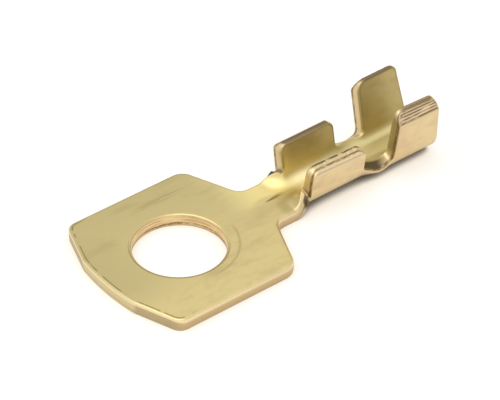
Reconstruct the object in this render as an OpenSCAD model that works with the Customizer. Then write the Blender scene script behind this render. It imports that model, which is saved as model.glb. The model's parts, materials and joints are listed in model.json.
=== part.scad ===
// Ring terminal for a wire end: one piece of brass sheet, stamped flat and then folded.
// A flat tongue with a stud hole runs through a short neck into an open barrel of two pairs of wings.
// The origin is the centre of the stud hole on the underside, +X runs along the wire, +Z is up.

/* [Sheet] */
// Thickness of the brass sheet
sheet_t = 0.95; // [0.7:0.05:1.15]

/* [Tongue] */
// Diameter of the hole for the stud
hole_d = 6.5; // [4.3:0.1:8]
// Width of the tongue across its straight sides
tongue_w = 12.8; // [11.5:0.1:16]
// Length of the tongue from the hole's centre to the tip of its nose
nose_reach = 6.25; // [5.5:0.05:9]
// Width of the shallow arc in the middle of the nose
nose_w = 5.6; // [3:0.1:8]
// Radius of that arc
nose_r = 18; // [10:0.5:60]
// Angle of the flanks beside the nose, measured from straight across
flank_angle = 19.5; // [12:0.5:30]
// Radius of the two front corners
front_corner_r = 0.9; // [0.3:0.1:1.5]
// Radius of the two rear corners
rear_corner_r = 1.2; // [0.3:0.1:2]
// Angle of the shoulders, measured from straight across
shoulder_angle = 22; // [10:1:35]
// Distance from the hole's centre to the root of the neck
neck_root_x = 6.8; // [6.4:0.1:9]

/* [Neck] */
// Width of the flat neck
neck_w = 4.05; // [4:0.05:4.8]
// Radius of the fillets between the shoulders and the neck
neck_fillet_r = 0.9; // [0.3:0.1:1.2]
// Length of the flat neck, from its root to the start of the curl
neck_flat = 1.6; // [1.2:0.05:2.5]
// Length over which the sheet curls from flat into the full barrel
curl_len = 1.5; // [1.2:0.1:3]
// Length of the neck's upturned lips, from the start of the curl to the slits
lip_len = 1.2; // [0.8:0.05:1.5]
// Width of the neck at the ends of the lips, measured along the sheet
lip_w = 4.2; // [4.1:0.1:5]
// Gap of the slits that part the lips from the front wings
slit_gap = 0.2; // [0.1:0.05:0.5]
// Width of the sheet left between the slits, measured along the sheet
slit_root_w = 3.9; // [3:0.1:4]

/* [Conductor barrel] */
// Length of the front wings along the wire
cond_len = 4.7; // [3.2:0.05:7]
// Width of the flat floor of the front barrel
cond_floor_w = 0.2; // [0:0.1:1]
// Inside radius of the front barrel's bends
cond_r = 1; // [0.7:0.05:1.3]
// Outward lean of the front wings from upright
cond_lean = 9.5; // [2:0.5:18]
// Height of the front wings above the underside
cond_h = 3.75; // [3.4:0.05:5]
// Radius of the front wings' upper corners
cond_corner_r = 0.6; // [0.2:0.05:0.8]
// Thickness left at the coined edge of the front wings
cond_edge_t = 0.45; // [0.25:0.05:0.65]
// Height of the coined bevel on the front wings
cond_coin_h = 0.4; // [0.2:0.05:0.9]

/* [Web] */
// Length of the low web between the two barrels
web_len = 2.5; // [1.8:0.1:4]
// Width of the web, measured along the sheet
web_w = 3.9; // [3.4:0.05:4.6]
// Inside radius of the web's bends, which are more open than the barrels'
web_r = 1.5; // [1:0.05:2.4]
// Radius of the fillets between the web and the wings
web_fillet_r = 0.35; // [0.2:0.05:0.7]

/* [Insulation barrel] */
// Length of the rear wings along the wire, at their roots
ins_len = 3.9; // [2.5:0.1:6]
// Width of the flat floor of the rear barrel
ins_floor_w = 1; // [0:0.1:2]
// Inside radius of the rear barrel's bends
ins_r = 0.75; // [0.5:0.05:1.2]
// Outward lean of the rear wings from upright
ins_lean = 10.5; // [2:0.5:16]
// Height of the rear wings above the underside
ins_h = 5.45; // [4.8:0.05:7.5]
// Radius of the rear wings' front upper corners
ins_front_corner_r = 0.8; // [0.3:0.05:1.1]
// Radius of the rear wings' back upper corners
ins_back_corner_r = 0.6; // [0.3:0.05:1.1]
// Thickness left at the coined edge of the rear wings
ins_edge_t = 0.33; // [0.2:0.01:0.6]
// Height of the coined bevel on the rear wings
ins_coin_h = 0.85; // [0.4:0.05:1.4]
// Slant of the rear wings' back edges from upright
ins_back_slant = 6.5; // [0:0.5:10]

/* [Hidden] */
brass = [0.82, 0.75, 0.53];
$fn = 96;

// Steps of an arc in an outline
arc_steps = 10;
// Stations along the curl, the web and each rounded corner of a wing
curl_steps = 10;
web_steps = 12;
corner_steps = 5;
// Rows of the sheet on each side: from its middle to the wings' roots, up a wall, then up the coined bevel
floor_rows = 10;
wall_rows = 3;
coin_rows = 1;
side_rows = floor_rows + wall_rows + coin_rows;
// Least and greatest share of a wall that lies below its coined bevel
least_wall = 0.1;
most_wall = 0.9;
// Bend below which the sheet counts as flat
flat_bend = 1e-6;
// Length of flat neck that the tongue and the barrel share
neck_lap = 0.3;
// Length by which the hole's cut passes the sheet on both sides
cut_over = 1;

// Places along the wire
curl_x = neck_root_x + neck_flat;
slit_x = curl_x + lip_len;
cond_x = slit_x + slit_gap;
web_x = cond_x + cond_len;
web_mid_x = web_x + web_len / 2;
ins_x = web_x + web_len;
end_x = ins_x + ins_len;

// Radii of the bends in the sheet's middle surface
cond_mid_r = cond_r + sheet_t / 2;
web_mid_r = web_r + sheet_t / 2;
ins_mid_r = ins_r + sheet_t / 2;

// Distance along the sheet from its middle to the edge of a wing: floor, bend and straight wall
function wing_reach(floor_w, r, lean, h) =
    floor_w / 2 + (r + sheet_t / 2) * (90 - lean) * PI / 180
    + (h - sheet_t - r + r * sin(lean)) / cos(lean);
cond_reach = wing_reach(cond_floor_w, cond_r, cond_lean, cond_h);
ins_reach = wing_reach(ins_floor_w, ins_r, ins_lean, ins_h);

function mix(a, b, u) = a + (b - a) * u;
function clamp(u) = max(0, min(1, u));
function ease(u) = let (v = clamp(u)) v * v * (3 - 2 * v);

// Outline with rounded corners, from [x, y, radius] points
function corner_arc(a, b, c) =
    let (
        p = [b.x, b.y],
        u = [a.x - b.x, a.y - b.y] / norm([a.x - b.x, a.y - b.y]),
        v = [c.x - b.x, c.y - b.y] / norm([c.x - b.x, c.y - b.y]),
        half = acos(u * v) / 2,
        from = p + u * b.z / tan(half),
        centre = p + (u + v) / norm(u + v) * b.z / sin(half),
        start = from - centre,
        turn = sign(u.x * v.y - u.y * v.x) * (180 - 2 * half)
    )
    b.z == 0 ? [p]
    : [for (i = [0:arc_steps])
        let (q = -turn * i / arc_steps)
        centre + [start.x * cos(q) - start.y * sin(q), start.x * sin(q) + start.y * cos(q)]];
function rounded(pts) =
    let (n = len(pts))
    [for (i = [0:n - 1]) each corner_arc(pts[(i + n - 1) % n], pts[i], pts[(i + 1) % n])];

// Tongue and flat neck: straight sides, a shallow nose arc between two flanks, sloping shoulders
module tongue() {
    side = tongue_w / 2;
    nose_sag = nose_r - sqrt(nose_r * nose_r - nose_w * nose_w / 4);
    nose_corner_x = nose_sag - nose_reach;
    front_x = nose_corner_x + (side - nose_w / 2) * tan(flank_angle);
    rear_x = neck_root_x - (side - neck_w / 2) * tan(shoulder_angle);
    nose_half_angle = asin(nose_w / 2 / nose_r);
    nose_arc = [for (i = [0:arc_steps])
        let (q = 180 + nose_half_angle * (2 * i / arc_steps - 1))
        [nose_r - nose_reach + nose_r * cos(q), nose_r * sin(q), 0]];
    outline = rounded(concat(
        nose_arc,
        [
            [front_x, -side, front_corner_r],
            [rear_x, -side, rear_corner_r],
            [neck_root_x, -neck_w / 2, neck_fillet_r],
            [curl_x, -neck_w / 2, 0],
            [curl_x, neck_w / 2, 0],
            [neck_root_x, neck_w / 2, neck_fillet_r],
            [rear_x, side, rear_corner_r],
            [front_x, side, front_corner_r],
        ]
    ));
    linear_extrude(height = sheet_t) polygon(outline);
}

// Bend of the sheet's middle surface across the wire, and the angle it turns before a wall runs straight
function web_bend_r(x) =
    x < web_mid_x ? mix(cond_mid_r, web_mid_r, ease((x - web_x) / (web_mid_x - web_x)))
    : mix(web_mid_r, ins_mid_r, ease((x - web_mid_x) / (ins_x - web_mid_x)));
function bend(x) = ease((x - curl_x) / curl_len) / web_bend_r(x);
function wall_angle(x) = 90 - mix(cond_lean, ins_lean, ease((x - web_x) / web_len));
function flat_half(x) = mix(cond_floor_w, ins_floor_w, ease((x - web_x) / web_len)) / 2;

// Point of the folded sheet: x along the wire, s along the sheet from its middle, d out from its middle surface
function folded(x, s, d) =
    let (
        k = bend(x),
        flat = k < flat_bend,
        level = flat ? abs(s) : min(abs(s), flat_half(x)),
        turned = flat ? 0 : min((abs(s) - level) * k * 180 / PI, wall_angle(x)),
        rise = flat ? [0, 0] : [sin(turned), 1 - cos(turned)] / k,
        straight = flat ? 0 : abs(s) - level - turned * PI / 180 / k,
        y = level + rise.x + straight * cos(turned) + d * sin(turned),
        z = rise.y + straight * sin(turned) - d * cos(turned)
    )
    [x, sign(s) * y, z + sheet_t / 2];

// Drop of an edge round a corner, by the distance from the corner's end
function corner_drop(from_end, r) =
    from_end >= r ? 0 : r - sqrt(max(0, r * r - (r - from_end) * (r - from_end)));

// Stations along a wing: close together round its front and back corners
function wing_stations(x0, x1, r0, r1) = concat(
    [for (i = [0:corner_steps]) x0 + r0 * (1 - cos(90 * i / corner_steps))],
    [(x0 + x1) / 2],
    [for (i = [corner_steps:-1:0]) x1 - r1 * (1 - cos(90 * i / corner_steps))]
);

// Half widths of the floor strip, along the sheet
slit_half = slit_root_w / 2;
web_half = web_w / 2;
wing_root = web_half + web_fillet_r;
function web_edge(x) = web_half + corner_drop(min(x - web_x, ins_x - x), web_fillet_r);

// One station of the barrel: [x, half width of the floor, half width out to the wall's edge,
// where the coined bevel starts, its depth for each length, slant of the wall's ends, zone]
CURL = 1;
FRONT_WINGS = 2;
WEB = 3;
REAR_WINGS = 4;
function curl_station(x) =
    let (edge = mix(neck_w, lip_w, clamp((x - curl_x) / lip_len)) / 2)
    [x, slit_half, edge, edge, 0, 0, CURL];
function cond_station(x) =
    [x, mix(slit_half, wing_root, (x - cond_x) / cond_len),
        cond_reach - corner_drop(min(x - cond_x, web_x - x), cond_corner_r),
        cond_reach - cond_coin_h, (sheet_t - cond_edge_t) / cond_coin_h, 0, FRONT_WINGS];
function web_station(x) = [x, web_edge(x), web_edge(x), web_edge(x), 0, 0, WEB];
function ins_station(x) =
    [x, wing_root,
        ins_reach - corner_drop(x - ins_x, ins_front_corner_r) - corner_drop(end_x - x, ins_back_corner_r),
        ins_reach - ins_coin_h, (sheet_t - ins_edge_t) / ins_coin_h,
        (x - ins_x) / ins_len * tan(ins_back_slant), REAR_WINGS];
stations = concat(
    [curl_station(curl_x - neck_lap)],
    [for (i = [0:curl_steps]) curl_station(mix(curl_x, slit_x, i / curl_steps))],
    [for (x = wing_stations(cond_x, web_x, cond_corner_r, cond_corner_r)) cond_station(x)],
    [for (i = [1:web_steps - 1]) web_station(mix(web_x, ins_x, (1 - cos(180 * i / web_steps)) / 2))],
    [for (x = wing_stations(ins_x, end_x, ins_front_corner_r, ins_back_corner_r)) ins_station(x)]
);

// Distance along the sheet of a row at a station
function row_reach(st, row) =
    let (
        r = abs(row),
        foot = max(mix(st[1], st[2], least_wall), min(st[3], mix(st[1], st[2], most_wall)))
    )
    r <= floor_rows ? st[1] * r / floor_rows
    : r <= floor_rows + wall_rows ? mix(st[1], foot, (r - floor_rows) / wall_rows)
    : mix(foot, st[2], (r - floor_rows - wall_rows) / coin_rows);

// Inner and outer point of the sheet at a station and row
function sheet_points(st, row) =
    let (
        s = row_reach(st, row),
        coin = st[4] * max(0, s - st[3]),
        x = st[0] - st[5] * max(0, s - st[1])
    )
    [
        for (d = [-sheet_t / 2, sheet_t / 2 - coin])
        let (p = folded(st[0], sign(row) * s, d))
        [x, p.y, p.z]
    ];

// A cell of the sheet lies between two stations and two rows; the walls are missing at the slits and the web
function has_cell(i, j) =
    i >= 0 && i < len(stations) - 1 && j >= -side_rows && j < side_rows
    && ((j >= 0 ? j : -j - 1) < floor_rows
        || (stations[i][6] == stations[i + 1][6] && stations[i][6] != WEB));
function at(i, j, outer) = 2 * (i * (2 * side_rows + 1) + j + side_rows) + outer;
function quad(a, b, c, d) = [[a, b, c], [a, c, d]];

// Barrel: the sheet from the neck's curl to the rear wings, folded up round the wire
module barrel() {
    points = [for (st = stations) for (row = [-side_rows:side_rows]) each sheet_points(st, row)];
    faces = [
        for (i = [0:len(stations) - 2])
        for (j = [-side_rows:side_rows - 1])
        if (has_cell(i, j))
        each concat(
            quad(at(i, j, 0), at(i, j + 1, 0), at(i + 1, j + 1, 0), at(i + 1, j, 0)),
            quad(at(i, j, 1), at(i + 1, j, 1), at(i + 1, j + 1, 1), at(i, j + 1, 1)),
            has_cell(i, j + 1) ? []
                : quad(at(i, j + 1, 0), at(i, j + 1, 1), at(i + 1, j + 1, 1), at(i + 1, j + 1, 0)),
            has_cell(i, j - 1) ? []
                : quad(at(i, j, 0), at(i + 1, j, 0), at(i + 1, j, 1), at(i, j, 1)),
            has_cell(i + 1, j) ? []
                : quad(at(i + 1, j, 0), at(i + 1, j + 1, 0), at(i + 1, j + 1, 1), at(i + 1, j, 1)),
            has_cell(i - 1, j) ? []
                : quad(at(i, j, 0), at(i, j, 1), at(i, j + 1, 1), at(i, j + 1, 0))
        )
    ];
    polyhedron(points, faces);
}

module ring_terminal() {
    color(brass)
    difference() {
        union() {
            tongue();
            barrel();
        }
        translate([0, 0, -cut_over]) cylinder(d = hole_d, h = sheet_t + 2 * cut_over);
    }
}

ring_terminal();
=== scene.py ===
# %% [markdown]
# # A ring terminal, stamped flat and folded
# A ring terminal fastens the end of a wire under a nut. The real one starts as a flat brass blank: a press
# cuts its outline and its hole, coins the tips of the wings, and folds the wings up into an open barrel.
# It could be modelled folded from the start, but this lesson follows the press: cut the blank, round its
# sheared edges, coin, crease, fold. Every mark then lies on the sheet where the tools leave it.

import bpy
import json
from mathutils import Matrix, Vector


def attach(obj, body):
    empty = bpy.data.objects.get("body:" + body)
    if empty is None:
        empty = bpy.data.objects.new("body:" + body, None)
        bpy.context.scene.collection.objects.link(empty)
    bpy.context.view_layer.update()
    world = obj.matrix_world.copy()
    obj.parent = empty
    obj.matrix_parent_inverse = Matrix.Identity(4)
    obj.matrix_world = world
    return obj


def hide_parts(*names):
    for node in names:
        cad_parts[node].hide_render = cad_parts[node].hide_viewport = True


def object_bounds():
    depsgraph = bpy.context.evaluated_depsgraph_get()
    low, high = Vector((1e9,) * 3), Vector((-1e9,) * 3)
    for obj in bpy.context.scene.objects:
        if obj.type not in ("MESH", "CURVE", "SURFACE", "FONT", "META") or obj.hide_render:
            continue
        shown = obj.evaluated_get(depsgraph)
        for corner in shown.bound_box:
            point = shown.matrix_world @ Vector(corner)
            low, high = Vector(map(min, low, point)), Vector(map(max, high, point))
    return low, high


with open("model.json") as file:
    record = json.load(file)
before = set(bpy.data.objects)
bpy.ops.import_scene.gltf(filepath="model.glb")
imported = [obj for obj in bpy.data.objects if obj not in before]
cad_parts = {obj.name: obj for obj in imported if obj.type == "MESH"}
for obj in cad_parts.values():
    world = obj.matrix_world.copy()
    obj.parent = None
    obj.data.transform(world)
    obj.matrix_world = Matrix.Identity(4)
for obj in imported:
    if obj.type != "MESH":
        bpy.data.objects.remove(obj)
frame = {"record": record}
cad_low, cad_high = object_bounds()
print("CAD box in metres:", [round(v, 5) for v in (*cad_low, *cad_high)])

# %% [markdown]
# ## Sizes of the sheet
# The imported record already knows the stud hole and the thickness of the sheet, and the CAD box knows how far
# the part reaches, so those sizes are read from the frame. The rest of the blank's sizes are named here once.
# They are written in millimetres, because that is how a press shop thinks, and turned to metres on the spot.

# %% Sizes read from the frame
import math

mm = 0.001
stud_hole = next(m for m in frame["record"]["mounts"] if m["name"] == "stud_hole")
hole_r = stud_hole["dims"]["r_mm"] * mm
sheet_t = stud_hole["dims"]["length_mm"] * mm
# The sides stay a hair inside the CAD box, so that rounding can't push them out of it.
round_off = 0.0001 * mm
tongue_half = cad_high.y - round_off
nose_reach = -cad_low.x
end_x = cad_high.x
ins_h = cad_high.z
print(f"sheet {sheet_t / mm:.2f} mm, hole radius {hole_r / mm:.2f} mm, height {ins_h / mm:.2f} mm")

# %% Places along the wire
neck_root_x, neck_len, curl_len = 6.8 * mm, 1.6 * mm, 1.5 * mm
lip_len, slit_gap, cond_len, web_len = 1.2 * mm, 0.2 * mm, 4.7 * mm, 2.5 * mm
curl_x = neck_root_x + neck_len
slit_x = curl_x + lip_len
cond_x = slit_x + slit_gap
web_x = cond_x + cond_len
web_mid_x = web_x + web_len / 2
ins_x = web_x + web_len
print(f"front wings from {cond_x / mm:.2f} to {web_x / mm:.2f} mm along the wire")
print(f"rear wings from {ins_x / mm:.2f} to {end_x / mm:.2f} mm")

# %% Section of the two barrels
cond_floor_w, cond_r, cond_lean, cond_h = 0.2 * mm, 1.0 * mm, math.radians(9.5), 3.75 * mm
ins_floor_w, ins_r, ins_lean = 1.0 * mm, 0.75 * mm, math.radians(10.5)
web_r = 1.5 * mm


def wing_reach(floor_w, inside_r, lean, height):
    """Distance along the sheet from its middle to a wing's edge: floor, bend and straight wall."""
    bend = (inside_r + sheet_t / 2) * (math.pi / 2 - lean)
    wall = (height - sheet_t - inside_r + inside_r * math.sin(lean)) / math.cos(lean)
    return floor_w / 2 + bend + wall


cond_reach = wing_reach(cond_floor_w, cond_r, cond_lean, cond_h)
ins_reach = wing_reach(ins_floor_w, ins_r, ins_lean, ins_h)
print(f"flat half widths: front wings {cond_reach / mm:.2f} mm, rear wings {ins_reach / mm:.2f} mm")

# %% [markdown]
# ## The camera
# The photograph looks down on the terminal from its nose's left, through a long lens, so its parallel edges
# stay nearly parallel. The camera stands on a line from the stud hole given by two angles, and is then aimed
# so that the hole's centre falls on the pixel where the photograph has it. That takes a turn and no shift.

# %% Camera at the photograph's angle
import bpy
from mathutils import Matrix, Vector

scene = bpy.context.scene
photo_w, photo_h = 500, 400
view_azimuth, view_elevation, view_roll = (math.radians(a) for a in (-36.64, 39.84, -1.07))
view_distance = 292.5 * mm
pixels_per_metre = 14775
hole_pixel = (179.47, 256.02)

back = Vector((
    math.sin(view_azimuth) * math.cos(view_elevation),
    -math.cos(view_azimuth) * math.cos(view_elevation),
    math.sin(view_elevation),
))
level = Vector((math.cos(view_azimuth), math.sin(view_azimuth), 0))
right = math.cos(view_roll) * level + math.sin(view_roll) * back.cross(level)
up = back.cross(right)
across = (photo_w / 2 - hole_pixel[0]) / pixels_per_metre
above = (hole_pixel[1] - photo_h / 2) / pixels_per_metre
aim = (right * across + up * above - back * view_distance).normalized()
aim_right = (right - aim * right.dot(aim)).normalized()
aim_up = aim_right.cross(aim)

camera_data = bpy.data.cameras.new("camera")
camera_data.sensor_width = 36
camera_data.lens = camera_data.sensor_width * pixels_per_metre * view_distance / photo_w
camera = bpy.data.objects.new("camera", camera_data)
turn = Matrix((aim_right, aim_up, -aim)).transposed().to_4x4()
camera.matrix_world = Matrix.Translation(back * view_distance) @ turn
scene.collection.objects.link(camera)
scene.camera = camera
print(f"lens {camera_data.lens:.1f} mm, camera at", [round(v, 4) for v in camera.location])

# %% [markdown]
# ## The blank's outline
# Before it is folded, the terminal is one flat shape: the tongue with its nose, the neck, the slits, and two
# pairs of wings spread out sideways. Its half outline is a short list of corners, each with a radius and with
# the size of its die roll, which is the soft shoulder that a punch leaves where it enters the sheet. The
# other half is the mirror image. One list keeps the corners readable, and a helper turns it into fine points.

# %% Corners of the half outline
neck_half, lip_half, slit_half, web_half = 2.025 * mm, 2.1 * mm, 1.95 * mm, 1.95 * mm
web_fillet_r = 0.35 * mm
wing_root = web_half + web_fillet_r
back_slant = math.radians(6.5)
nose_half, nose_r = 2.8 * mm, 18 * mm
flank_angle, shoulder_angle = math.radians(19.5), math.radians(22)
nose_roll, tongue_roll, wing_roll, slit_roll = 0.15 * mm, 0.27 * mm, 0.19 * mm, 0.03 * mm
ins_back_r, ins_front_r, cond_corner_r, slit_corner_r = 0.6 * mm, 0.8 * mm, 0.6 * mm, 0.06 * mm
neck_fillet_r, shoulder_r, flank_r = 0.9 * mm, 1.2 * mm, 0.9 * mm
nose_steps = 12


def nose_x(s):
    """Place along the wire of the nose's shallow arc, at a distance from the middle."""
    return nose_r - nose_reach - math.sqrt(nose_r ** 2 - s ** 2)


front_x = nose_x(nose_half) + (tongue_half - nose_half) * math.tan(flank_angle)
rear_x = neck_root_x - (tongue_half - neck_half) * math.tan(shoulder_angle)
back_tip_x = end_x - (ins_reach - wing_root) * math.tan(back_slant)
half_corners = [
    (end_x, wing_root, 0, wing_roll),
    (back_tip_x, ins_reach, ins_back_r, wing_roll),
    (ins_x, ins_reach, ins_front_r, wing_roll),
    (ins_x, web_half, web_fillet_r, wing_roll),
    (web_x, web_half, web_fillet_r, wing_roll),
    (web_x, cond_reach, cond_corner_r, wing_roll),
    (cond_x, cond_reach, cond_corner_r, wing_roll),
    (cond_x, slit_half, slit_corner_r, slit_roll),
    (slit_x, slit_half, slit_corner_r, slit_roll),
    (slit_x, lip_half, slit_corner_r, slit_roll),
    (curl_x, neck_half, 0, tongue_roll),
    (neck_root_x, neck_half, neck_fillet_r, tongue_roll),
    (rear_x, tongue_half, shoulder_r, tongue_roll),
    (front_x, tongue_half, flank_r, nose_roll),
]
for step in range(nose_steps):
    s = nose_half * (1 - step / nose_steps)
    half_corners.append((nose_x(s), s, 0, nose_roll))
corners = half_corners + [(-nose_reach, 0, 0, nose_roll)]
corners += [(x, -s, r, roll) for x, s, r, roll in reversed(half_corners)]
print(f"{len(corners)} corners, tongue from {front_x / mm:.2f} to {rear_x / mm:.2f} mm")

# %% Fine points along a list of corners
import numpy as np

outline_step = 0.12 * mm
corner_steps = 10
hole_roll = 0.16 * mm


def corner_points(before, corner, after):
    """Points round one corner: the corner itself, or an arc of its radius that touches both sides."""
    here, radius = np.array(corner[:2]), corner[2]
    if radius == 0:
        return [here]
    u, v = (np.array(p[:2]) - here for p in (before, after))
    u, v = u / np.linalg.norm(u), v / np.linalg.norm(v)
    half = math.acos(u @ v) / 2
    centre = here + (u + v) / np.linalg.norm(u + v) * radius / math.sin(half)
    first = here + u * radius / math.tan(half) - centre
    last = here + v * radius / math.tan(half) - centre
    sweep = math.pi - 2 * half
    return [
        centre + (first * math.sin(sweep * (1 - k)) + last * math.sin(sweep * k)) / math.sin(sweep)
        for k in np.linspace(0, 1, corner_steps + 1)
    ]


def fine_outline(corners):
    """Evenly spaced points of a closed outline, with the die roll at each of them."""
    count = len(corners)
    arcs = [corner_points(corners[i - 1], corners[i], corners[(i + 1) % count]) for i in range(count)]
    points, rolls = [], []
    for i, arc in enumerate(arcs):
        points += arc
        rolls += [corners[i][3]] * len(arc)
        j = (i + 1) % count
        gap = arcs[j][0] - arc[-1]
        for k in np.linspace(0, 1, max(1, math.ceil(np.linalg.norm(gap) / outline_step)) + 1)[1:-1]:
            points.append(arc[-1] + gap * k)
            rolls.append(corners[i][3] + (corners[j][3] - corners[i][3]) * k)
    return np.array(points), np.array(rolls)


outline, outline_roll = fine_outline(corners)
hole_steps = math.ceil(2 * math.pi * hole_r / outline_step)
hole_turn = -2 * math.pi * np.arange(hole_steps) / hole_steps
hole = hole_r * np.stack([np.cos(hole_turn), np.sin(hole_turn)], axis=1)
hole_rolls = np.full(hole_steps, hole_roll)
print(f"outline of {len(outline)} points, hole of {len(hole)} points")

# %% [markdown]
# ## The sheared edge
# A punched edge is never a sharp right angle. From the top down it has the die roll, then a smooth burnished
# band, then a torn band that sits a little further in, then a small roll at the foot. A bevel would round
# both rims alike, so the edge is drawn as a profile of rings, each an inset copy of the outline at its depth.
# The first and last ring keep the flat faces flat, so that the roll's shading doesn't leak into them.

# %% Rings of the sheared edge
roll_steps = 5
hold = 0.02 * mm
burnished_share, torn_share = 0.62, 0.7
torn_inset = 0.02 * mm
foot_roll_share = 0.5
top_cut_power, foot_cut_power = 4, 2


def edge_profile(roll):
    """Rows of (inset, height above the sheet's middle, share that belongs to the cut), from top to foot."""
    top, foot = sheet_t / 2, -sheet_t / 2
    foot_roll = roll * foot_roll_share
    rows = [(roll + hold, top, 0)]
    for angle in np.linspace(0, math.pi / 2, roll_steps + 1):
        height = top - roll * (1 - math.cos(angle))
        rows.append((roll * (1 - math.sin(angle)), height, math.sin(angle) ** top_cut_power))
    rows.append((0, top - burnished_share * sheet_t, 1))
    rows.append((torn_inset, top - torn_share * sheet_t, 1))
    for angle in np.linspace(math.pi / 2, 0, roll_steps):
        inset = torn_inset + foot_roll * (1 - math.sin(angle))
        height = foot + foot_roll * (1 - math.cos(angle))
        rows.append((inset, height, math.sin(angle) ** foot_cut_power))
    rows.append((torn_inset + foot_roll + hold, foot, 0))
    return rows


def edge_rings(loop, rolls):
    """Rings of points down the edge of a loop whose metal lies on the left of its way round."""
    along = loop - np.roll(loop, 1, axis=0)
    lengths = np.linalg.norm(along, axis=1)
    along /= lengths[:, None]
    inward = np.stack([-along[:, 1], along[:, 0]], axis=1)
    inward = inward + np.roll(inward, -1, axis=0)
    inward /= np.linalg.norm(inward, axis=1)[:, None]
    profiles = np.array([edge_profile(roll) for roll in rolls])
    place = loop[:, None, :] + inward[:, None, :] * profiles[:, :, :1]
    rings = np.concatenate([place, profiles[:, :, 1:2]], axis=2)
    return rings, profiles[:, :, 2], np.cumsum(lengths)


outline_rings, outline_cut, outline_run = edge_rings(outline, outline_roll)
hole_rings, hole_cut, hole_run = edge_rings(hole, hole_rolls)
ring_count = outline_rings.shape[1]
print(f"{ring_count} rings down each edge, cut length {outline_run[-1] / mm:.1f} mm")

# %% [markdown]
# ## The blank as a mesh
# The rings are joined by strips of quads. The two faces of the sheet are filled by a constrained Delaunay
# triangulation: it takes the rims of the outline and the hole as fixed edges and joins them to loose points
# inside. A plain n-gon would also close the faces, but it couldn't bend. Loose points are sparse on the
# tongue, which stays flat, and close together where the sheet will bend, crease or be coined.

# %% Loose points inside the blank
cond_coin_h, ins_coin_h = 0.4 * mm, 0.85 * mm
cond_coin_s, ins_coin_s = cond_reach - cond_coin_h, ins_reach - ins_coin_h
crease_from, crease_to, crease_half = 7.1 * mm, 9.6 * mm, 0.4 * mm
bend_margin = 0.3 * mm
bend_from = neck_root_x + bend_margin
crease_grid, bend_grid, tongue_grid = (0.1 * mm, 0.03 * mm), (0.15 * mm, 0.075 * mm), (0.5 * mm, 0.5 * mm)
wall_grid = (0.15 * mm, 0.15 * mm)
cond_coin_grid, ins_coin_grid = (0.12 * mm, 0.03 * mm), (0.12 * mm, 0.02 * mm)
patches = [
    (crease_from, crease_to, -crease_half, crease_half, crease_grid),
    (bend_from, end_x, -wing_root, wing_root, bend_grid),
    (-nose_reach, bend_from, -tongue_half, tongue_half, tongue_grid),
]
for wing_from, wing_to, coin_s, reach, coin_grid in (
    (cond_x, web_x, cond_coin_s, cond_reach, cond_coin_grid),
    (ins_x, end_x, ins_coin_s, ins_reach, ins_coin_grid),
):
    patches.append((wing_from, wing_to, wing_root, coin_s, wall_grid))
    patches.append((wing_from, wing_to, -coin_s, -wing_root, wall_grid))
    patches.append((wing_from, wing_to, coin_s, reach, coin_grid))
    patches.append((wing_from, wing_to, -reach, -coin_s, coin_grid))


def patch_points(x0, x1, s0, s1, grid):
    """A grid of points that fills a rectangle of the blank."""
    xs = np.linspace(x0, x1, round((x1 - x0) / grid[0]) + 1)
    ss = np.linspace(s0, s1, round((s1 - s0) / grid[1]) + 1)
    return np.array(np.meshgrid(xs, ss, indexing="ij")).reshape(2, -1).T


loose = np.empty((0, 2))
for n, patch in enumerate(patches):
    points = patch_points(*patch)
    for x0, x1, s0, s1, (x_step, s_step) in patches[:n]:
        clear = (points[:, 0] < x0 - x_step / 2) | (points[:, 0] > x1 + x_step / 2)
        clear |= (points[:, 1] < s0 - s_step / 2) | (points[:, 1] > s1 + s_step / 2)
        points = points[clear]
    loose = np.concatenate([loose, points])
print(f"{len(loose)} loose points in {len(patches)} patches")

# %% Fill a face of the sheet
from mathutils.geometry import delaunay_2d_cdt
from mathutils.kdtree import KDTree

rim_margin = 0.05 * mm
merge_mm = 1e-6
INSIDE_ONLY = 1


def inside_loop(points, loop):
    """Which points lie inside a closed loop, by counting crossings of a ray."""
    inside = np.zeros(len(points), bool)
    for (x0, s0), (x1, s1) in zip(loop, np.roll(loop, -1, axis=0)):
        crosses = (s0 > points[:, 1]) != (s1 > points[:, 1])
        if s0 != s1:
            inside ^= crosses & (points[:, 0] < (x1 - x0) * (points[:, 1] - s0) / (s1 - s0) + x0)
    return inside


def rim_distances(points, rim):
    """Distance from each point to the nearest point of a rim, on the flat sheet."""
    tree = KDTree(len(rim))
    for i, p in enumerate(rim):
        tree.insert((*p, 0), i)
    tree.balance()
    return np.array([tree.find((*p, 0))[2] for p in points])


def fill_face(rim, hole_rim):
    """Loose points kept for a face, and its triangles over the rim, the hole's rim and those points."""
    keep = inside_loop(loose, rim) & ~inside_loop(loose, hole_rim)
    rims = np.concatenate([rim, hole_rim])
    keep &= rim_distances(loose, rims) > rim_margin
    points = np.concatenate([rims, loose[keep]])
    count, total = len(rim), len(rims)
    edges = [(i, (i + 1) % count) for i in range(count)]
    edges += [(i, count + (i + 1 - count) % (total - count)) for i in range(count, total)]
    points_mm = [Vector(p / mm) for p in points]
    _, _, faces, origins, _, _ = delaunay_2d_cdt(points_mm, edges, [], INSIDE_ONLY, merge_mm)
    faces = np.array([[origins[v][0] for v in face] for face in faces])
    middle = points[faces].mean(axis=1)
    return loose[keep], faces[~inside_loop(middle, hole_rim)]


top_loose, top_faces = fill_face(outline_rings[:, 0, :2], hole_rings[:, 0, :2])
foot_loose, foot_faces = fill_face(outline_rings[:, -1, :2], hole_rings[:, -1, :2])
print(f"{len(top_faces)} triangles on the upper face, {len(foot_faces)} on the under face")

# %% Join the edge strips and the two faces
outline_count, hole_count = len(outline), len(hole)
top_count, foot_count = len(top_loose), len(foot_loose)
ring_total = (outline_count + hole_count) * ring_count


def ring_index(row):
    """Vertex numbers of one row of the edge: first round the outline, then round the hole."""
    return np.arange(outline_count + hole_count) * ring_count + row


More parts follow.
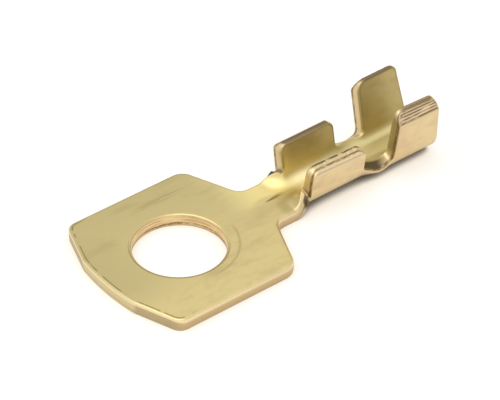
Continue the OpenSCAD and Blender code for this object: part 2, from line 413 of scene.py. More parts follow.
def edge_strips(first, count):
    """Quads between the rows of one loop, facing away from the metal."""
    column, row = np.arange(count)[:, None], np.arange(ring_count - 1)[None, :]
    here = first + column * ring_count + row
    there = first + (column + 1) % count * ring_count + row
    return np.stack([here, here + 1, there + 1, there], axis=2).reshape(-1, 4)


top_index = np.concatenate([ring_index(0), ring_total + np.arange(top_count)])
foot_index = np.concatenate([ring_index(ring_count - 1), ring_total + top_count + np.arange(foot_count)])
vertices = np.concatenate([
    outline_rings.reshape(-1, 3),
    hole_rings.reshape(-1, 3),
    np.column_stack([top_loose, np.full(top_count, sheet_t / 2)]),
    np.column_stack([foot_loose, np.full(foot_count, -sheet_t / 2)]),
])
faces = edge_strips(0, outline_count).tolist() + edge_strips(outline_count * ring_count, hole_count).tolist()
faces += top_index[top_faces].tolist() + foot_index[foot_faces[:, ::-1]].tolist()
blank = bpy.data.meshes.new("blank")
blank.from_pydata(vertices.tolist(), [], faces)
blank.update()
print(f"blank of {len(blank.vertices)} points and {len(blank.polygons)} faces")

# %% [markdown]
# ## Marks that stay with the metal
# Folding moves every point, so a pattern that is read from the finished place would slide over the bends.
# Attributes are written on the flat blank instead, and they ride along through the fold: where a point lay on
# the flat sheet, how far it belongs to the cut edge, how far along the cut it lies, and how far from the rim.
# The marks that later strokes of the press leave start at nothing.

# %% Attributes on the blank
no_cut, no_mark = np.zeros(top_count + foot_count), np.zeros(len(vertices))
cut = np.concatenate([outline_cut.ravel(), hole_cut.ravel(), no_cut])
cut_run = np.concatenate([np.repeat(outline_run, ring_count), np.repeat(hole_run, ring_count), no_cut])
marks = {"from_rim": rim_distances(vertices[:, :2], outline), "cut": cut, "cut_run": cut_run}
marks.update({name: no_mark for name in ("coined_line", "coined", "tip", "crease")})
flat_places = blank.attributes.new("flat_place", "FLOAT_VECTOR", "POINT")
flat_places.data.foreach_set("vector", vertices.astype(np.float32).ravel())
for name, values in marks.items():
    blank.attributes.new(name, "FLOAT", "POINT").data.foreach_set("value", values.astype(np.float32))
terminal = bpy.data.objects.new("ring_terminal_brass", blank)
scene.collection.objects.link(terminal)
print("attributes:", [a.name for a in blank.attributes])

# %% [markdown]
# ## Arithmetic with nodes
# The colours of the brass and the strokes of the press both follow rules over the flat sheet. Blender writes
# a rule as a tree of Math nodes, one for each sign, which is slow to read. So a small class stands for a
# number that varies from point to point, and ordinary signs on it add the nodes. Shaders and Geometry Nodes
# have the same Math nodes, so one class serves both.

# %% Fields that build Math nodes
class Field:
    """A number that varies from point to point; arithmetic on it adds nodes to its tree."""

    def __init__(self, tree, socket):
        self.tree, self.socket = tree, socket

    def op(self, operation, *others):
        return arithmetic(self.tree, operation, self, *others)

    def __add__(self, other):
        return self.op("ADD", other)

    def __sub__(self, other):
        return self.op("SUBTRACT", other)

    def __rsub__(self, number):
        return arithmetic(self.tree, "SUBTRACT", number, self)

    def __mul__(self, other):
        return self.op("MULTIPLY", other)

    def __truediv__(self, other):
        return self.op("DIVIDE", other)

    def __or__(self, other):
        """The stronger of two masks."""
        return self.op("MAXIMUM", other)

    def __abs__(self):
        return self.op("ABSOLUTE")

    def spread(self, start, end, low=0.0, high=1.0, interpolation="LINEAR"):
        """The low number before the start and the high one after the end, with an even way between them."""
        ends = {"Value": self, "From Min": start, "From Max": end, "To Min": low, "To Max": high}
        node = add_node(self.tree, "ShaderNodeMapRange", ends, interpolation_type=interpolation)
        return Field(self.tree, node.outputs[0])

    def ease(self, start, end):
        """0 before the start and 1 after the end, with a smooth way between them."""
        return self.spread(start, end, interpolation="SMOOTHSTEP")


def plug(tree, value, socket):
    """Link a field or another node's output to a socket, or set a plain value on it."""
    if isinstance(value, Field):
        value = value.socket
    if isinstance(value, bpy.types.NodeSocket):
        tree.links.new(value, socket)
    else:
        socket.default_value = value


def add_node(tree, kind, inputs=None, **settings):
    """A node of a tree, with its settings, and with fields, links or plain values on its inputs."""
    node = tree.nodes.new(kind)
    for name, value in settings.items():
        setattr(node, name, value)
    for name, value in (inputs or {}).items():
        plug(tree, value, node.inputs[name])
    return node


def arithmetic(tree, operation, *values):
    """One Math node over fields and numbers, as a new field."""
    node = add_node(tree, "ShaderNodeMath", dict(enumerate(values)), operation=operation)
    return Field(tree, node.outputs[0])


def blend(first, second, amount):
    """The way from one field to another."""
    return first + (second - first) * amount


print("fields ready:", [n for n in ("op", "spread", "ease") if hasattr(Field, n)])

# %% [markdown]
# ## Brass
# The sheet is bare rolled brass: a greenish gold on the upper face, a little pinker on the side that lay
# against the tools, and pinker, rougher metal where it was cut. A photograph of brass could be wrapped on,
# but a procedural material keeps its grain at true size on every side. Its rules read the blank's attributes.
# Numbers that are the same all over sit straight on the shader; only what varies gets nodes.

# %% Start the brass material
brass = bpy.data.materials.new("rolled_brass")
brass.use_nodes = True
brass_tree = brass.node_tree
shader = brass_tree.nodes["Principled BSDF"]
shader.inputs["Metallic"].default_value = 1.0
# A Mix node's colour sockets go by number, because they share their names with its number sockets.
MIX_AMOUNT, MIX_FIRST, MIX_SECOND, MIX_RESULT = 0, 6, 7, 2


def mix_colour(amount, first, second, tree=brass_tree):
    """A blend of two colours."""
    inputs = {MIX_AMOUNT: amount, MIX_FIRST: first, MIX_SECOND: second}
    return add_node(tree, "ShaderNodeMix", inputs, data_type="RGBA").outputs[MIX_RESULT]


def sheet_mark(name):
    """A number that the blank carries at every point."""
    return Field(brass_tree, add_node(brass_tree, "ShaderNodeAttribute", attribute_name=name).outputs["Fac"])


def distance(off_x, off_s):
    """Distance over the flat sheet, from its two parts."""
    return (off_x * off_x + off_s * off_s).op("SQRT")


flat_place = add_node(brass_tree, "ShaderNodeAttribute", attribute_name="flat_place").outputs["Vector"]
flat_parts = add_node(brass_tree, "ShaderNodeSeparateXYZ", {"Vector": flat_place}).outputs
flat_x, flat_s, flat_z = (Field(brass_tree, part) for part in flat_parts)
aside = abs(flat_s)
depth = flat_z.spread(sheet_t / 2, -sheet_t / 2)
upper = 1.0 - depth
from_rim, cut_mask, cut_along = sheet_mark("from_rim"), sheet_mark("cut"), sheet_mark("cut_run")
print("brass reads", [n.attribute_name for n in brass_tree.nodes if n.type == "ATTRIBUTE"])

# %% Noise on the sheet and on its cut
through_scale, noise_rough = 900, 0.6


def noise(place, detail):
    """Noise at a place that is already scaled."""
    inputs = {"Vector": place, "Scale": 1, "Detail": detail, "Roughness": noise_rough}
    return Field(brass_tree, add_node(brass_tree, "ShaderNodeTexNoise", inputs).outputs[0])


def rolled_noise(x_scale, s_scale, detail):
    """Noise on the flat sheet, drawn out along the way it was rolled."""
    inputs = {"Vector": flat_place, "Scale": (x_scale, s_scale, through_scale)}
    return noise(add_node(brass_tree, "ShaderNodeMapping", inputs).outputs[0], detail)


def cut_noise(run_scale, depth_scale, detail):
    """Noise on the cut edge, along its run and down through the sheet."""
    inputs = {"X": cut_along * run_scale, "Y": depth * depth_scale}
    return noise(add_node(brass_tree, "ShaderNodeCombineXYZ", inputs).outputs[0], detail)


smear = rolled_noise(x_scale=230, s_scale=900, detail=4)
hairline = rolled_noise(x_scale=300, s_scale=16000, detail=2)
mottle = rolled_noise(x_scale=700, s_scale=900, detail=3)
streaks = cut_noise(run_scale=2500, depth_scale=6, detail=3)
drawn = cut_noise(run_scale=450, depth_scale=8, detail=3)
print("noise for smears, hairlines, mottling and two kinds of streaks")

# %% Colour of the tongue and the neck
# Here and below, a pair of numbers is where a change starts and where it is complete.
# Painted shade darkens the tongue towards the nose, the far side and the near lip; clouds are its own
# mottling.
upper_gold, shaded_gold = (0.645, 0.527, 0.24, 1), (0.51, 0.422, 0.197, 1)
neck_highlight_gold = (0.79, 0.665, 0.29, 1)
to_nose, off_near_side, to_far_side = (3.0 * mm, -6.0 * mm), (-5.5 * mm, -1.0 * mm), (-6.0 * mm, 8.0 * mm)
to_curl, to_near_lip, lip_strength = (7.2 * mm, 8.4 * mm), (0, -1.0 * mm), 1.5
cloud_range, cloud_strength = (0.42, 0.72), 0.5
to_neck, past_middle = (4.4 * mm, 8.0 * mm), (-0.4 * mm, 0.4 * mm)
nose_shade = flat_x.ease(*to_nose) * flat_s.ease(*off_near_side)
lip_shade = flat_x.ease(*to_curl) * flat_s.ease(*to_near_lip) * lip_strength
clouds = mottle.ease(*cloud_range) * cloud_strength
shade_and_clouds = nose_shade | flat_s.ease(*to_far_side) | lip_shade | clouds
tongue_gold = mix_colour(shade_and_clouds, upper_gold, shaded_gold)
# The neck's lighter far half is a painted highlight.
on_neck = flat_x.ease(*to_neck) * flat_s.ease(*past_middle)
tongue_gold = mix_colour(on_neck, tongue_gold, neck_highlight_gold)
print("the tongue is shaded towards its nose and its far side")

# %% Colour of the barrel and of the under face
# The floor's brighter gold is painted light, most at the front, and the walls' olive is painted shade.
front_floor_light_gold, rear_floor_light_gold = (0.98, 0.86, 0.50, 1), (0.68, 0.595, 0.305, 1)
wall_shade_gold, stained_gold = (0.54, 0.44, 0.2, 1), (0.46, 0.345, 0.14, 1)
under_gold, under_rose = (0.76, 0.61, 0.325, 1), (0.72, 0.53, 0.31, 1)
to_barrel, to_rear_floor, to_wall = (9.4 * mm, 11.0 * mm), (11.5 * mm, 14.5 * mm), (1.0 * mm, 2.4 * mm)
stain_range, stain_strength, rose_range = (0.42, 0.68), 0.55, (0.36, 0.62)
in_barrel = flat_x.ease(*to_barrel)
# Stains in the metal mottle the painted shade of the walls.
wall_shade_and_stains = mix_colour(mottle.ease(*stain_range) * stain_strength, wall_shade_gold, stained_gold)
lit_floor_gold = mix_colour(flat_x.ease(*to_rear_floor), front_floor_light_gold, rear_floor_light_gold)
barrel_light_and_shade = mix_colour(aside.ease(*to_wall), lit_floor_gold, wall_shade_and_stains)
outer_gold = mix_colour(mottle.ease(*rose_range), under_gold, under_rose)
face_colour = mix_colour(depth, mix_colour(in_barrel, tongue_gold, barrel_light_and_shade), outer_gold)
# Duller here is the extra roughness set in the gloss cell; the walls' darker gold is painted shade.
print("the upper face is duller on the barrel's walls, where the folding punch rubbed it")

# %% [markdown]
# ## Marks on the faces
# Making and handling have left their marks: smears and hairlines along the rolling, and a rubbed streak and
# arc on the tongue. A dark broken line runs along the nose's rim, and painted shade darkens the near part of
# the hole's rim and the wings' inner rims. Each mark is a mask: a number from 0 to 1, made of eased bands over
# the flat sheet, that blends in a darker colour.

# %% Rolling smears, hairlines and the rubbed streak
smear_gold = (0.37, 0.29, 0.13, 1)
smear_range, smear_strength = (0.5, 0.8), 0.36
hairline_range, hairline_strength = (0.62, 0.74), 0.2
streak_s, streak_band = 4.75 * mm, (0.55 * mm, 0.1 * mm)
streak_front, streak_back = (-1.4 * mm, 0.8 * mm), (4.6 * mm, 3.4 * mm)
streak_range, streak_strength = (0.42, 0.62), 0.62
smeared = smear.ease(*smear_range) * smear_strength
scratched = hairline.ease(*hairline_range) * hairline_strength
rubbed = abs(flat_s - streak_s).ease(*streak_band) * flat_x.ease(*streak_front) * flat_x.ease(*streak_back)
rubbed = rubbed * rolled_noise(x_scale=350, s_scale=5000, detail=3).ease(*streak_range) * upper
face_colour = mix_colour(smeared | scratched | rubbed * streak_strength, face_colour, smear_gold)
print("smears, hairlines and the streak follow the rolling")

# %% Dark broken line along the nose's rim
rim_line_and_shade_brown = (0.25, 0.19, 0.08, 1)
rim_line_inset, rim_line_half_w = 0.24 * mm, 0.08 * mm
rim_line_front, rim_line_range = (-3.0 * mm, -4.0 * mm), (0.36, 0.52)
darkened = abs(from_rim - rim_line_inset).ease(rim_line_half_w, 0) * flat_x.ease(*rim_line_front)
darkened = darkened * rolled_noise(x_scale=1500, s_scale=1500, detail=2).ease(*rim_line_range) * upper
face_colour = mix_colour(darkened, face_colour, rim_line_and_shade_brown)
print(f"scuffed line {rim_line_inset / mm:.2f} mm inside the nose's rim")

# %% Painted shade on the wings' inner rims
rim_shade_olive, rim_shade_strength = (0.27, 0.21, 0.085, 1), 0.75
rim_band, to_wing, past_neck = (0.25 * mm, 0.1 * mm), (2.1 * mm, 2.5 * mm), (8.5 * mm, 9.5 * mm)
# Olive painted over the rolled rims in place of their highlight: painted shade.
on_wing_rim = from_rim.ease(*rim_band) * aside.ease(*to_wing) * flat_x.ease(*past_neck) * upper
face_colour = mix_colour(on_wing_rim * rim_shade_strength, face_colour, rim_shade_olive)
print("the wings' inner rims stay dull where the sheet rolls over")

# %% Rubbed arc, and painted shade along the near part of the hole's rim
arc_x, arc_r, arc_half_w = 0.2 * mm, 3.95 * mm, 0.16 * mm
arc_side, arc_front, arc_strength = (-0.2 * mm, -1.2 * mm), (-0.3 * mm, 0.8 * mm), 0.55
hole_line_r, hole_line_half_w, hole_rim_shade_strength = hole_r + 0.18 * mm, 0.1 * mm, 0.7
near_x, near_s, near_span = -0.6, -0.8, (-1.0 * mm, 1.0 * mm)
on_arc = abs(distance(flat_x - arc_x, flat_s) - arc_r).ease(arc_half_w, 0)
on_arc = on_arc * flat_s.ease(*arc_side) * flat_x.ease(*arc_front) * upper
face_colour = mix_colour(on_arc * arc_strength, face_colour, smear_gold)
# The dark line on the near part of the hole's rim is painted shade.
hole_distance = distance(flat_x, flat_s)
near_part = (flat_x * near_x + flat_s * near_s).ease(*near_span)
hole_rim_shade = abs(hole_distance - hole_line_r).ease(hole_line_half_w, 0) * near_part * upper
face_colour = mix_colour(hole_rim_shade * hole_rim_shade_strength, face_colour, rim_line_and_shade_brown)
print(f"arc of radius {arc_r / mm:.2f} mm and a dark line {hole_line_half_w * 2 / mm:.2f} mm wide")

# %% [markdown]
# ## The cut edge
# The punch burnished the upper part of the cut and tore the lower part, so the cut is gold above and streaked
# with brown below. The sides, the hole and the wings each have their own gold; the flanks' darker gold is
# painted shade, the nose's lighter gold painted light, and a painted highlight runs along the upper rim. Dark
# painted shade sits in the slits, at the web and on the near rear wing's end, and dark specks line the ragged
# rim.

# %% Burnished part of the cut
# The flanks' darker gold is painted shade and the nose's lighter gold is painted light.
tongue_cut, flank_shade_cut, nose_light_cut = (0.60, 0.45, 0.243, 1), (0.50, 0.40, 0.225, 1), (0.66, 0.565, 0.33, 1)
hole_cut_gold, hole_drawn = (0.83, 0.64, 0.34, 1), (0.56, 0.37, 0.20, 1)
rim_highlight_gold, wing_cut, end_shade_olive = (0.96, 0.79, 0.50, 1), (0.70, 0.555, 0.31, 1), (0.34, 0.27, 0.12, 1)
side_x, flank_x, to_nose_cut = -4.4 * mm, -5.0 * mm, (-5.9 * mm, -6.05 * mm)
hole_band, drawn_range = (hole_r + 0.4 * mm, hole_r + 0.3 * mm), (0.46, 0.62)
flank_rim_depth, side_rim_depth, full_rim_depth = 0.25, 0.45, 0.12
to_wing_cut, end_side, end_shade_strength = (8.0 * mm, 9.6 * mm), (-2.2 * mm, -2.8 * mm), 0.75
end_front, end_back = (ins_x - 0.4 * mm, ins_x - 0.1 * mm), (ins_x + 0.3 * mm, ins_x + 0.05 * mm)
at_hole = hole_distance.ease(*hole_band)
on_wings = flat_x.ease(*to_wing_cut)
burnished = mix_colour(flat_x.ease(side_x, flank_x), tongue_cut, flank_shade_cut)
burnished = mix_colour(flat_x.ease(*to_nose_cut), burnished, nose_light_cut)
hole_wall = mix_colour(drawn.ease(*drawn_range), hole_cut_gold, hole_drawn)
burnished = mix_colour(at_hole, burnished, hole_wall)
# A painted highlight along the upper part of the cut, reaching deeper on the sides than on the flanks.
rim_depth = flat_x.spread(flank_x, side_x, flank_rim_depth, side_rim_depth)
rim_highlight = depth.spread(rim_depth, full_rim_depth) * (1.0 - at_hole)
burnished = mix_colour(rim_highlight, burnished, rim_highlight_gold)
burnished = mix_colour(on_wings, burnished, wing_cut)
# Painted shade on the near rear wing's front end.
rear_end_shade = flat_x.ease(*end_front) * flat_x.ease(*end_back) * flat_s.ease(*end_side)
burnished = mix_colour(rear_end_shade * end_shade_strength, burnished, end_shade_olive)
print("the burnished cut is brightest at its rim")

# %% Torn part of the cut
tongue_torn, hole_torn, wing_torn = (0.52, 0.38, 0.21, 1), (0.26, 0.16, 0.08, 1), (0.24, 0.16, 0.075, 1)
torn_end, torn_range, hole_torn_range, torn_strength = (0.93, 0.85), (0.25, 0.6), (0.4, 0.6), 0.5
torn = depth.ease(burnished_share, torn_share) * depth.ease(*torn_end) * streaks.ease(*torn_range)
torn_colour = mix_colour(torn_strength, burnished, mix_colour(at_hole, tongue_torn, hole_torn))
torn_colour = mix_colour(at_hole * drawn.ease(*hole_torn_range), torn_colour, hole_torn)
torn_colour = mix_colour(on_wings, torn_colour, wing_torn)
cut_colour = mix_colour(torn, burnished, torn_colour)
print("the cut is brown where the punch tore it")

# %% Painted shade at the slits and the web, and dark specks along the ragged rim
shade_and_speck_brown, shade_and_speck_strength = (0.06, 0.04, 0.015, 1), 0.9
slit_shade_x, slit_shade_band, slit_shade_depth = slit_x - 0.2 * mm, (0.28 * mm, 0.1 * mm), (0.3, 0.5)
slit_band, slit_end, slit_wall_shade_strength = (0.12 * mm, 0.08 * mm), (lip_half + 0.1 * mm, lip_half), 0.45
web_front, web_back = (web_x, web_x + 0.3 * mm), (ins_x - 0.2 * mm, web_mid_x)
web_side, web_depth = (-1.5 * mm, -1.8 * mm), (0.9, 0.6)
ragged_front, ragged_back = (cond_x - 0.05 * mm, cond_x), (web_x + 0.05 * mm, web_x)
ragged_side, ragged_depth = (0.2 * mm - cond_reach, 0.1 * mm - cond_reach), (0.42, 0.22)
ragged_range = (0.38, 0.55)
# The spots at the slits and the web are painted shade; rim_spot puts dark specks along the near front wing's
# rim.
slit_shade = distance(flat_x - slit_shade_x, aside - lip_half).ease(*slit_shade_band)
slit_shade = slit_shade * depth.ease(*slit_shade_depth)
slit_wall_shade = abs(flat_x - (slit_x + cond_x) / 2).ease(*slit_band) * aside.ease(*slit_end)
web_shade = flat_x.ease(*web_front) * flat_x.ease(*web_back) * flat_s.ease(*web_side) * depth.ease(*web_depth)
rim_spot = flat_x.ease(*ragged_front) * flat_x.ease(*ragged_back) * flat_s.ease(*ragged_side)
rim_spot = rim_spot * depth.ease(*ragged_depth)
rim_spot = rim_spot * rolled_noise(x_scale=1800, s_scale=1800, detail=2).ease(*ragged_range)
shade_and_specks = slit_shade | slit_wall_shade * slit_wall_shade_strength | web_shade | rim_spot
cut_colour = mix_colour(shade_and_specks * shade_and_speck_strength, cut_colour, shade_and_speck_brown)
print("dark spots on the cut")

# %% Colour of the tips, the coined lines and the crease
coined_gold, line_brown = (0.77, 0.595, 0.37, 1), (0.13, 0.085, 0.04, 1)
tip_brown, crease_shade_brown = (0.17, 0.11, 0.055, 1), (0.28, 0.22, 0.085, 1)
worn_range, line_strength, crease_shade_strength, tip_strength = (0.28, 0.52), 0.95, 1.6, 0.85
worn = rolled_noise(x_scale=600, s_scale=3500, detail=2).ease(*worn_range)
face_colour = mix_colour(sheet_mark("coined"), face_colour, coined_gold)
face_colour = mix_colour(sheet_mark("coined_line") * worn * line_strength, face_colour, line_brown)
# The crease's darker colour is painted shade.
face_colour = mix_colour(sheet_mark("crease") * crease_shade_strength, face_colour, crease_shade_brown)
whole_colour = mix_colour(cut_mask, face_colour, cut_colour)
whole_colour = mix_colour(sheet_mark("tip") * tip_strength, whole_colour, tip_brown)
plug(brass_tree, whole_colour, shader.inputs["Base Color"])
print("tips, coined lines and crease are coloured")

# %% Gloss and fine relief
gloss_range, smooth_rough, smeared_rough, cut_rough = (0.3, 0.7), 0.28, 0.38, 0.48
barrel_dullness, neck_dullness = 0.18, 0.1
relief_strength, relief_height = 0.3, 0.01 * mm
face_rough = smear.spread(*gloss_range, smooth_rough, smeared_rough)
face_rough = face_rough + in_barrel * upper * barrel_dullness
face_rough = face_rough + on_neck * (1.0 - in_barrel) * neck_dullness
plug(brass_tree, blend(face_rough, cut_rough, cut_mask), shader.inputs["Roughness"])
grain = rolled_noise(x_scale=900, s_scale=14000, detail=2)
relief = add_node(brass_tree, "ShaderNodeBump", {"Strength": relief_strength, "Distance": relief_height})
plug(brass_tree, blend(grain, streaks, cut_mask), relief.inputs["Height"])
plug(brass_tree, relief.outputs["Normal"], shader.inputs["Normal"])
print(f"brass material of {len(brass_tree.nodes)} nodes")

# %% [markdown]
# ## Strokes of the press
# Coining, creasing and folding move every point of the flat sheet to one new place. Geometry Nodes can carry
# out such a rule on all points at once, and its sizes stay open as named inputs. Helpers start a tree, store
# the marks that a stroke leaves for the brass to read, end the tree and put it on the sheet.

# %% Start, end and run a tree that moves the sheet
def start_tree(name, sizes):
    """A tree with a geometry input and one named input per size, and the point's place as three fields."""
    tree = bpy.data.node_groups.new(name, "GeometryNodeTree")
    tree.interface.new_socket("Geometry", in_out="INPUT", socket_type="NodeSocketGeometry")
    for label in sizes:
        tree.interface.new_socket(label, in_out="INPUT", socket_type="NodeSocketFloat")
    tree.interface.new_socket("Geometry", in_out="OUTPUT", socket_type="NodeSocketGeometry")
    entry = add_node(tree, "NodeGroupInput")
    position = add_node(tree, "GeometryNodeInputPosition").outputs[0]
    place = [Field(tree, part) for part in add_node(tree, "ShaderNodeSeparateXYZ", {0: position}).outputs]
    fields = {label: Field(tree, entry.outputs[label]) for label in sizes}
    return tree, entry.outputs["Geometry"], place, fields


def leave_mark(tree, geometry, name, amount):
    """Store how strongly a stroke marked each point, on top of what earlier strokes left."""
    before = add_node(tree, "GeometryNodeInputNamedAttribute", {"Name": name}).outputs["Attribute"]
    inputs = {"Geometry": geometry, "Name": name, "Value": amount | Field(tree, before)}
    return add_node(tree, "GeometryNodeStoreNamedAttribute", inputs).outputs["Geometry"]


def end_tree(tree, geometry, place):
    """Move the points to their new place, then realize and give the metal its material."""
    spot = add_node(tree, "ShaderNodeCombineXYZ", dict(enumerate(place))).outputs[0]
    moved = add_node(tree, "GeometryNodeSetPosition", {"Geometry": geometry, "Position": spot}).outputs[0]
    real = add_node(tree, "GeometryNodeRealizeInstances", {"Geometry": moved}).outputs[0]
    coated = add_node(tree, "GeometryNodeSetMaterial", {"Geometry": real, "Material": brass}).outputs[0]
    add_node(tree, "NodeGroupOutput", {"Geometry": coated})


def press(tree, sizes):
    """Put a tree on the terminal as one stroke of the press, with its sizes set by socket identifier."""
    stroke = terminal.modifiers.new(tree.name, "NODES")
    stroke.node_group = tree
    for item in tree.interface.items_tree:
        if item.in_out == "INPUT" and item.name in sizes:
            stroke[item.identifier] = sizes[item.name]
    print(f"{tree.name}: {len(tree.nodes)} nodes, {len(sizes)} sizes")


print("helpers of the press are ready")

# %% [markdown]
# ## Coined wing tips
# The tips of the wings are squeezed thin on their outer side, so that they curl in easily when they are
# crimped. The bevel is ruled with fine lines along the wire, left by the coining tool. One tree serves both
# pairs of wings: it thins the sheet towards the edge and presses evenly spaced lines into the bevel. The near
# wings were trimmed a little short, and the front one was left ragged, so the tree does that too.

# %% Coining tree
coin_sizes = [
    "Sheet", "Start", "End", "Foot", "Edge", "Edge thickness", "Lines", "Line depth",
    "Front trim", "Rear trim", "Ragged", "Near tip", "Near coin", "Round",
]
trim_span, reach_margin, outer_power = 1.2 * mm, 0.2 * mm, 6.0
fine_bump, coarse_bump, bump_gain = 0.14 * mm, 0.9 * mm, 4.0
fine_waver, coarse_waver = 0.35, 0.8
ragged_part, tip_part, coined_part = (0.7, 0.95), (0.8, 0.97), (0.0, 0.06)


def wander(place, length):
    """Noise from about -1 to 1 along the wire, with bumps of about this length."""
    node = add_node(place.tree, "ShaderNodeTexNoise", {"W": place / length}, noise_dimensions="1D")
    return Field(place.tree, node.outputs[0]) * bump_gain - bump_gain / 2


coin_tree, metal, (x, s, z), size = start_tree("coin_tips", coin_sizes)
on_wing = x.op("GREATER_THAN", size["Start"]) * x.op("LESS_THAN", size["End"])
near_side = s.op("LESS_THAN", 0.0) * on_wing
up_bevel = ((abs(s) - size["Foot"]) / (size["Edge"] - size["Foot"])).op("MAXIMUM", 0.0)
from_inside = (size["Sheet"] * 0.5 - z) / size["Sheet"]
outer_side = from_inside.op("POWER", outer_power) * on_wing
thinned = up_bevel.op("POWER", size["Round"]) * (size["Sheet"] - size["Edge thickness"])
thinned = blend(thinned, thinned * size["Near coin"], near_side)
fine, coarse = wander(x, fine_bump), wander(x, coarse_bump)
waver = (fine * fine_waver + coarse * coarse_waver) * up_bevel
ruled = (up_bevel * size["Lines"] * math.tau + waver).op("COSINE") * -0.5 + 0.5
ruled = ruled * outer_side * size["Lines"].op("MINIMUM", 1.0)
pressed = thinned * from_inside * on_wing + ruled * size["Line depth"]
up_trim = ((abs(s) - size["Edge"] + trim_span) / trim_span).op("MAXIMUM", 0.0)
trim = blend(size["Front trim"], size["Rear trim"], x.ease(size["Start"], size["End"])) * up_trim
trim = trim + fine * size["Ragged"] * up_bevel.ease(*ragged_part)
on_tip = up_bevel.ease(*tip_part) * on_wing
metal = leave_mark(coin_tree, metal, "coined", up_bevel.ease(*coined_part) * outer_side)
metal = leave_mark(coin_tree, metal, "coined_line", ruled)
metal = leave_mark(coin_tree, metal, "tip", blend(on_tip, on_tip * size["Near tip"], near_side))
end_tree(coin_tree, metal, (x, s + trim * near_side, z + pressed))
press(coin_tree, {
    "Sheet": sheet_t, "Start": ins_x - reach_margin, "End": end_x + reach_margin,
    "Foot": ins_coin_s, "Edge": ins_reach, "Edge thickness": 0.33 * mm, "Round": 1.0,
    "Lines": 5.0, "Line depth": 0.06 * mm, "Front trim": 0.0, "Rear trim": 0.15 * mm,
    "Ragged": 0.01 * mm, "Near tip": 0.8, "Near coin": 1.0,
})
press(coin_tree, {
    "Sheet": sheet_t, "Start": cond_x - reach_margin, "End": web_x + reach_margin,
    "Foot": cond_coin_s, "Edge": cond_reach, "Edge thickness": 0.45 * mm, "Round": 1.9,
    "Lines": 0.0, "Line depth": 0.0, "Front trim": 0.08 * mm, "Rear trim": 0.26 * mm,
    "Ragged": 0.028 * mm, "Near tip": 0.15, "Near coin": 0.5,
})

# %% [markdown]
# ## The crease in the neck
# Where the flat neck starts to curl, the sheet gets a short crease along its middle. It is shallow, narrow at
# the tongue and wider towards the barrel. A bump map would give its shade but not its form, so the upper face
# is pressed down for real: a V across the sheet, faded in and out along it.

# %% Crease tree
crease_sizes = ["Sheet", "Start", "Deepest", "End", "Drift", "Half width", "Depth"]
crease_power, least_width = 4.0, 0.3
crease_tree, metal, (x, s, z), size = start_tree("crease_neck", crease_sizes)
fade = x.ease(size["Start"], size["Deepest"]) - x.ease(size["Deepest"], size["End"])
width = size["Half width"] * (x.ease(size["Start"], size["End"]) * (1 - least_width) + least_width)
off_middle = abs(s - (x - size["Start"]) * size["Drift"])
valley = (1.0 - off_middle / width).op("MAXIMUM", 0.0)
upper_side = ((z + size["Sheet"] * 0.5) / size["Sheet"]).op("POWER", crease_power)
dent = valley * fade * upper_side
metal = leave_mark(crease_tree, metal, "crease", dent)
end_tree(crease_tree, metal, (x, s, z - dent * size["Depth"]))
press(crease_tree, {
    "Sheet": sheet_t, "Start": 7.2 * mm, "Deepest": 8.0 * mm, "End": 9.4 * mm,
    "Drift": 0.06, "Half width": 0.3 * mm, "Depth": 0.04 * mm,
})

# %% [markdown]
# ## Folding the barrel
# The press curls the neck, then folds the wings up. Seen along the wire, every section is a flat floor, two
# bends and two straight walls, and only the bend's radius, the floor's width and the wall's angle change on
# the way. A lattice or an armature could bend the sheet too, but neither keeps its length. Here each point
# walks its own distance along the section, so the metal is bent and never stretched.

# %% Folding tree
fold_sizes = [
    "Sheet", "Curl start", "Curl end", "Web start", "Web middle", "Web end", "Front radius",
    "Web radius", "Rear radius", "Front wall", "Rear wall", "Front floor", "Rear floor",
]
fold_tree, metal, (x, s, z), size = start_tree("fold_barrel", fold_sizes)
least_bend = 0.01
into_web = x.ease(size["Web start"], size["Web middle"])
out_of_web = x.ease(size["Web middle"], size["Web end"])
past_web = x.ease(size["Web start"], size["Web end"])
bend_r = blend(blend(size["Front radius"], size["Web radius"], into_web), size["Rear radius"], out_of_web)
bend = (x.ease(size["Curl start"], size["Curl end"]) / bend_r).op("MAXIMUM", least_bend)
wall_angle = blend(size["Front wall"], size["Rear wall"], past_web)
floor_half = blend(size["Front floor"], size["Rear floor"], past_web) * 0.5
walk = abs(s)
on_floor = walk.op("MINIMUM", floor_half)
angle = ((walk - on_floor) * bend).op("MINIMUM", wall_angle)
up_wall = walk - on_floor - angle / bend
sine, cosine = angle.op("SINE"), angle.op("COSINE")
out = on_floor + sine / bend + up_wall * cosine - z * sine
rise = (1.0 - cosine) / bend + up_wall * sine + z * cosine + size["Sheet"] * 0.5
end_tree(fold_tree, metal, (x, out * s.op("SIGN"), rise))
press(fold_tree, {
    "Sheet": sheet_t, "Curl start": curl_x, "Curl end": curl_x + curl_len,
    "Web start": web_x, "Web middle": web_mid_x, "Web end": ins_x, "Front radius": cond_r + sheet_t / 2,
    "Web radius": web_r + sheet_t / 2, "Rear radius": ins_r + sheet_t / 2,
    "Front wall": math.pi / 2 - cond_lean, "Rear wall": math.pi / 2 - ins_lean,
    "Front floor": cond_floor_w, "Rear floor": ins_floor_w,
})

# %% [markdown]
# ## A plain mesh on the frame
# The strokes so far are live modifiers. The export wants plain meshes, so the evaluated shape is copied into
# a new mesh and the modifiers go. The finished terminal then rides on the frame's only body, stands for the
# CAD solid, and names the record's material slot that its finish belongs to.

# %% Apply the strokes
depsgraph = bpy.context.evaluated_depsgraph_get()
folded = bpy.data.meshes.new_from_object(
    terminal.evaluated_get(depsgraph), preserve_all_data_layers=True, depsgraph=depsgraph
)
terminal.modifiers.clear()
terminal.data = folded
folded.name = "ring_terminal_brass"
folded.shade_smooth()
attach(terminal, "root")
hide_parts("ring_terminal")
print(f"terminal of {len(folded.vertices)} points, material", folded.materials[0].name)

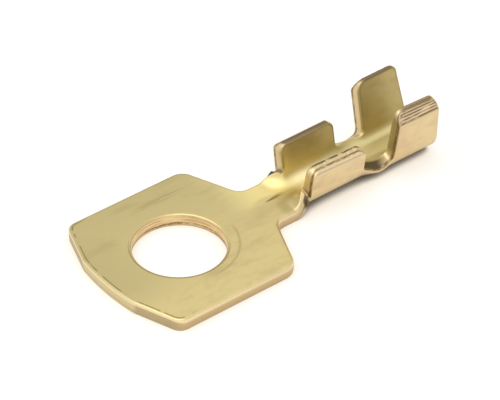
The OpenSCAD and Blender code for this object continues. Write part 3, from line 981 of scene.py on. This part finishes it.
# %% [markdown]
# ## Floor and light
# The photograph stands on seamless white, with a tight shadow under the barrel. Bright paper would throw so
# much light back that the shadow washes out. So the floor is greyer, and a glow that shows only in the
# picture and in the brass lifts it to white. The glow fades and turns a little gold where the terminal closes
# the floor in. The brass mirrors a pale sky with two dim and two bright places, and one soft lamp hangs high
# on the nose's side, for the pale streaks on the rolled edges and in the neck.

# %% Floor
floor_half_size, floor_drop = 1.5, 0.01 * mm
paper_look = {"Base Color": (0.30, 0.283, 0.25, 1), "Roughness": 0.9, "Specular IOR Level": 0.1}
paper_fill, shade_reach = 0.70, 3 * mm
fill_range, glow_range = (0.2, 0.45), (0.45, 0.85)
brass_glow, white = (1, 0.92, 0.81, 1), (1, 1, 1, 1)
corner_signs = ((-1, -1), (1, -1), (1, 1), (-1, 1))
floor_points = [(i * floor_half_size, j * floor_half_size, -floor_drop) for i, j in corner_signs]
floor_mesh = bpy.data.meshes.new("floor")
floor_mesh.from_pydata(floor_points, [], [(0, 1, 2, 3)])
floor = bpy.data.objects.new("floor", floor_mesh)
scene.collection.objects.link(floor)
paper = bpy.data.materials.new("white_paper")
paper.use_nodes = True
paper_tree = paper.node_tree
paper_shader = paper_tree.nodes["Principled BSDF"]
for name, value in paper_look.items():
    paper_shader.inputs[name].default_value = value
ray = add_node(paper_tree, "ShaderNodeLightPath")
seen = Field(paper_tree, ray.outputs["Is Camera Ray"])
for kind in ("Is Glossy Ray", "Is Transmission Ray"):
    seen = seen | Field(paper_tree, ray.outputs[kind])
shade = add_node(paper_tree, "ShaderNodeAmbientOcclusion", {"Distance": shade_reach})
openness = Field(paper_tree, shade.outputs["AO"])
glow = mix_colour(openness.spread(*glow_range), brass_glow, white, paper_tree)
plug(paper_tree, glow, paper_shader.inputs["Emission Color"])
plug(paper_tree, seen * openness.ease(*fill_range) * paper_fill, paper_shader.inputs["Emission Strength"])
floor_mesh.materials.append(paper)
print("floor of", 2 * floor_half_size, "metres")

# %% Sky
sky_light = 0.97
# For each place: the way to it, the cosines at its edge and at its core, and how bright its core is.
sky_places = [
    ((0.4, -0.9, -0.05), 0.7, 0.97, 0.57),
    ((0.46, 0.87, 0.15), 0.86, 0.97, 0.5),
    ((0.2, -0.75, 0.6), 0.6, 0.95, 1.25),
    ((0.46, 0.62, 0.64), 0.82, 0.96, 1.2),
]
sky = bpy.data.worlds.new("studio")
sky.use_nodes = True
scene.world = sky
sky_tree = sky.node_tree
look = add_node(sky_tree, "ShaderNodeTexCoord").outputs["Generated"]
strength = sky_light
for way, edge, core, brightness in sky_places:
    towards = {0: look, 1: Vector(way).normalized()}
    facing = add_node(sky_tree, "ShaderNodeVectorMath", towards, operation="DOT_PRODUCT").outputs["Value"]
    strength = Field(sky_tree, facing).spread(edge, core, 1.0, brightness, "SMOOTHSTEP") * strength
backdrop = sky_tree.nodes["Background"]
backdrop.inputs["Color"].default_value = white
plug(sky_tree, strength, backdrop.inputs["Strength"])
print(f"sky light {sky_light}, with {len(sky_places)} dimmer or brighter places")

# %% Lamp
lamp_way = Vector((-0.3, 0.1, 0.95)).normalized()
lamp_distance, lamp_side, lamp_power = 0.5, 0.56, 1.28
lamp_data = bpy.data.lights.new("soft_lamp", "AREA")
lamp_data.shape, lamp_data.size, lamp_data.energy = "SQUARE", lamp_side, lamp_power
lamp = bpy.data.objects.new("soft_lamp", lamp_data)
lamp.location = lamp_way * lamp_distance
lamp.rotation_euler = lamp_way.to_track_quat("Z", "Y").to_euler()
scene.collection.objects.link(lamp)
scene.view_settings.view_transform = "Standard"
print("lamp at", [round(v, 3) for v in lamp.location])

# %% Import json
import json
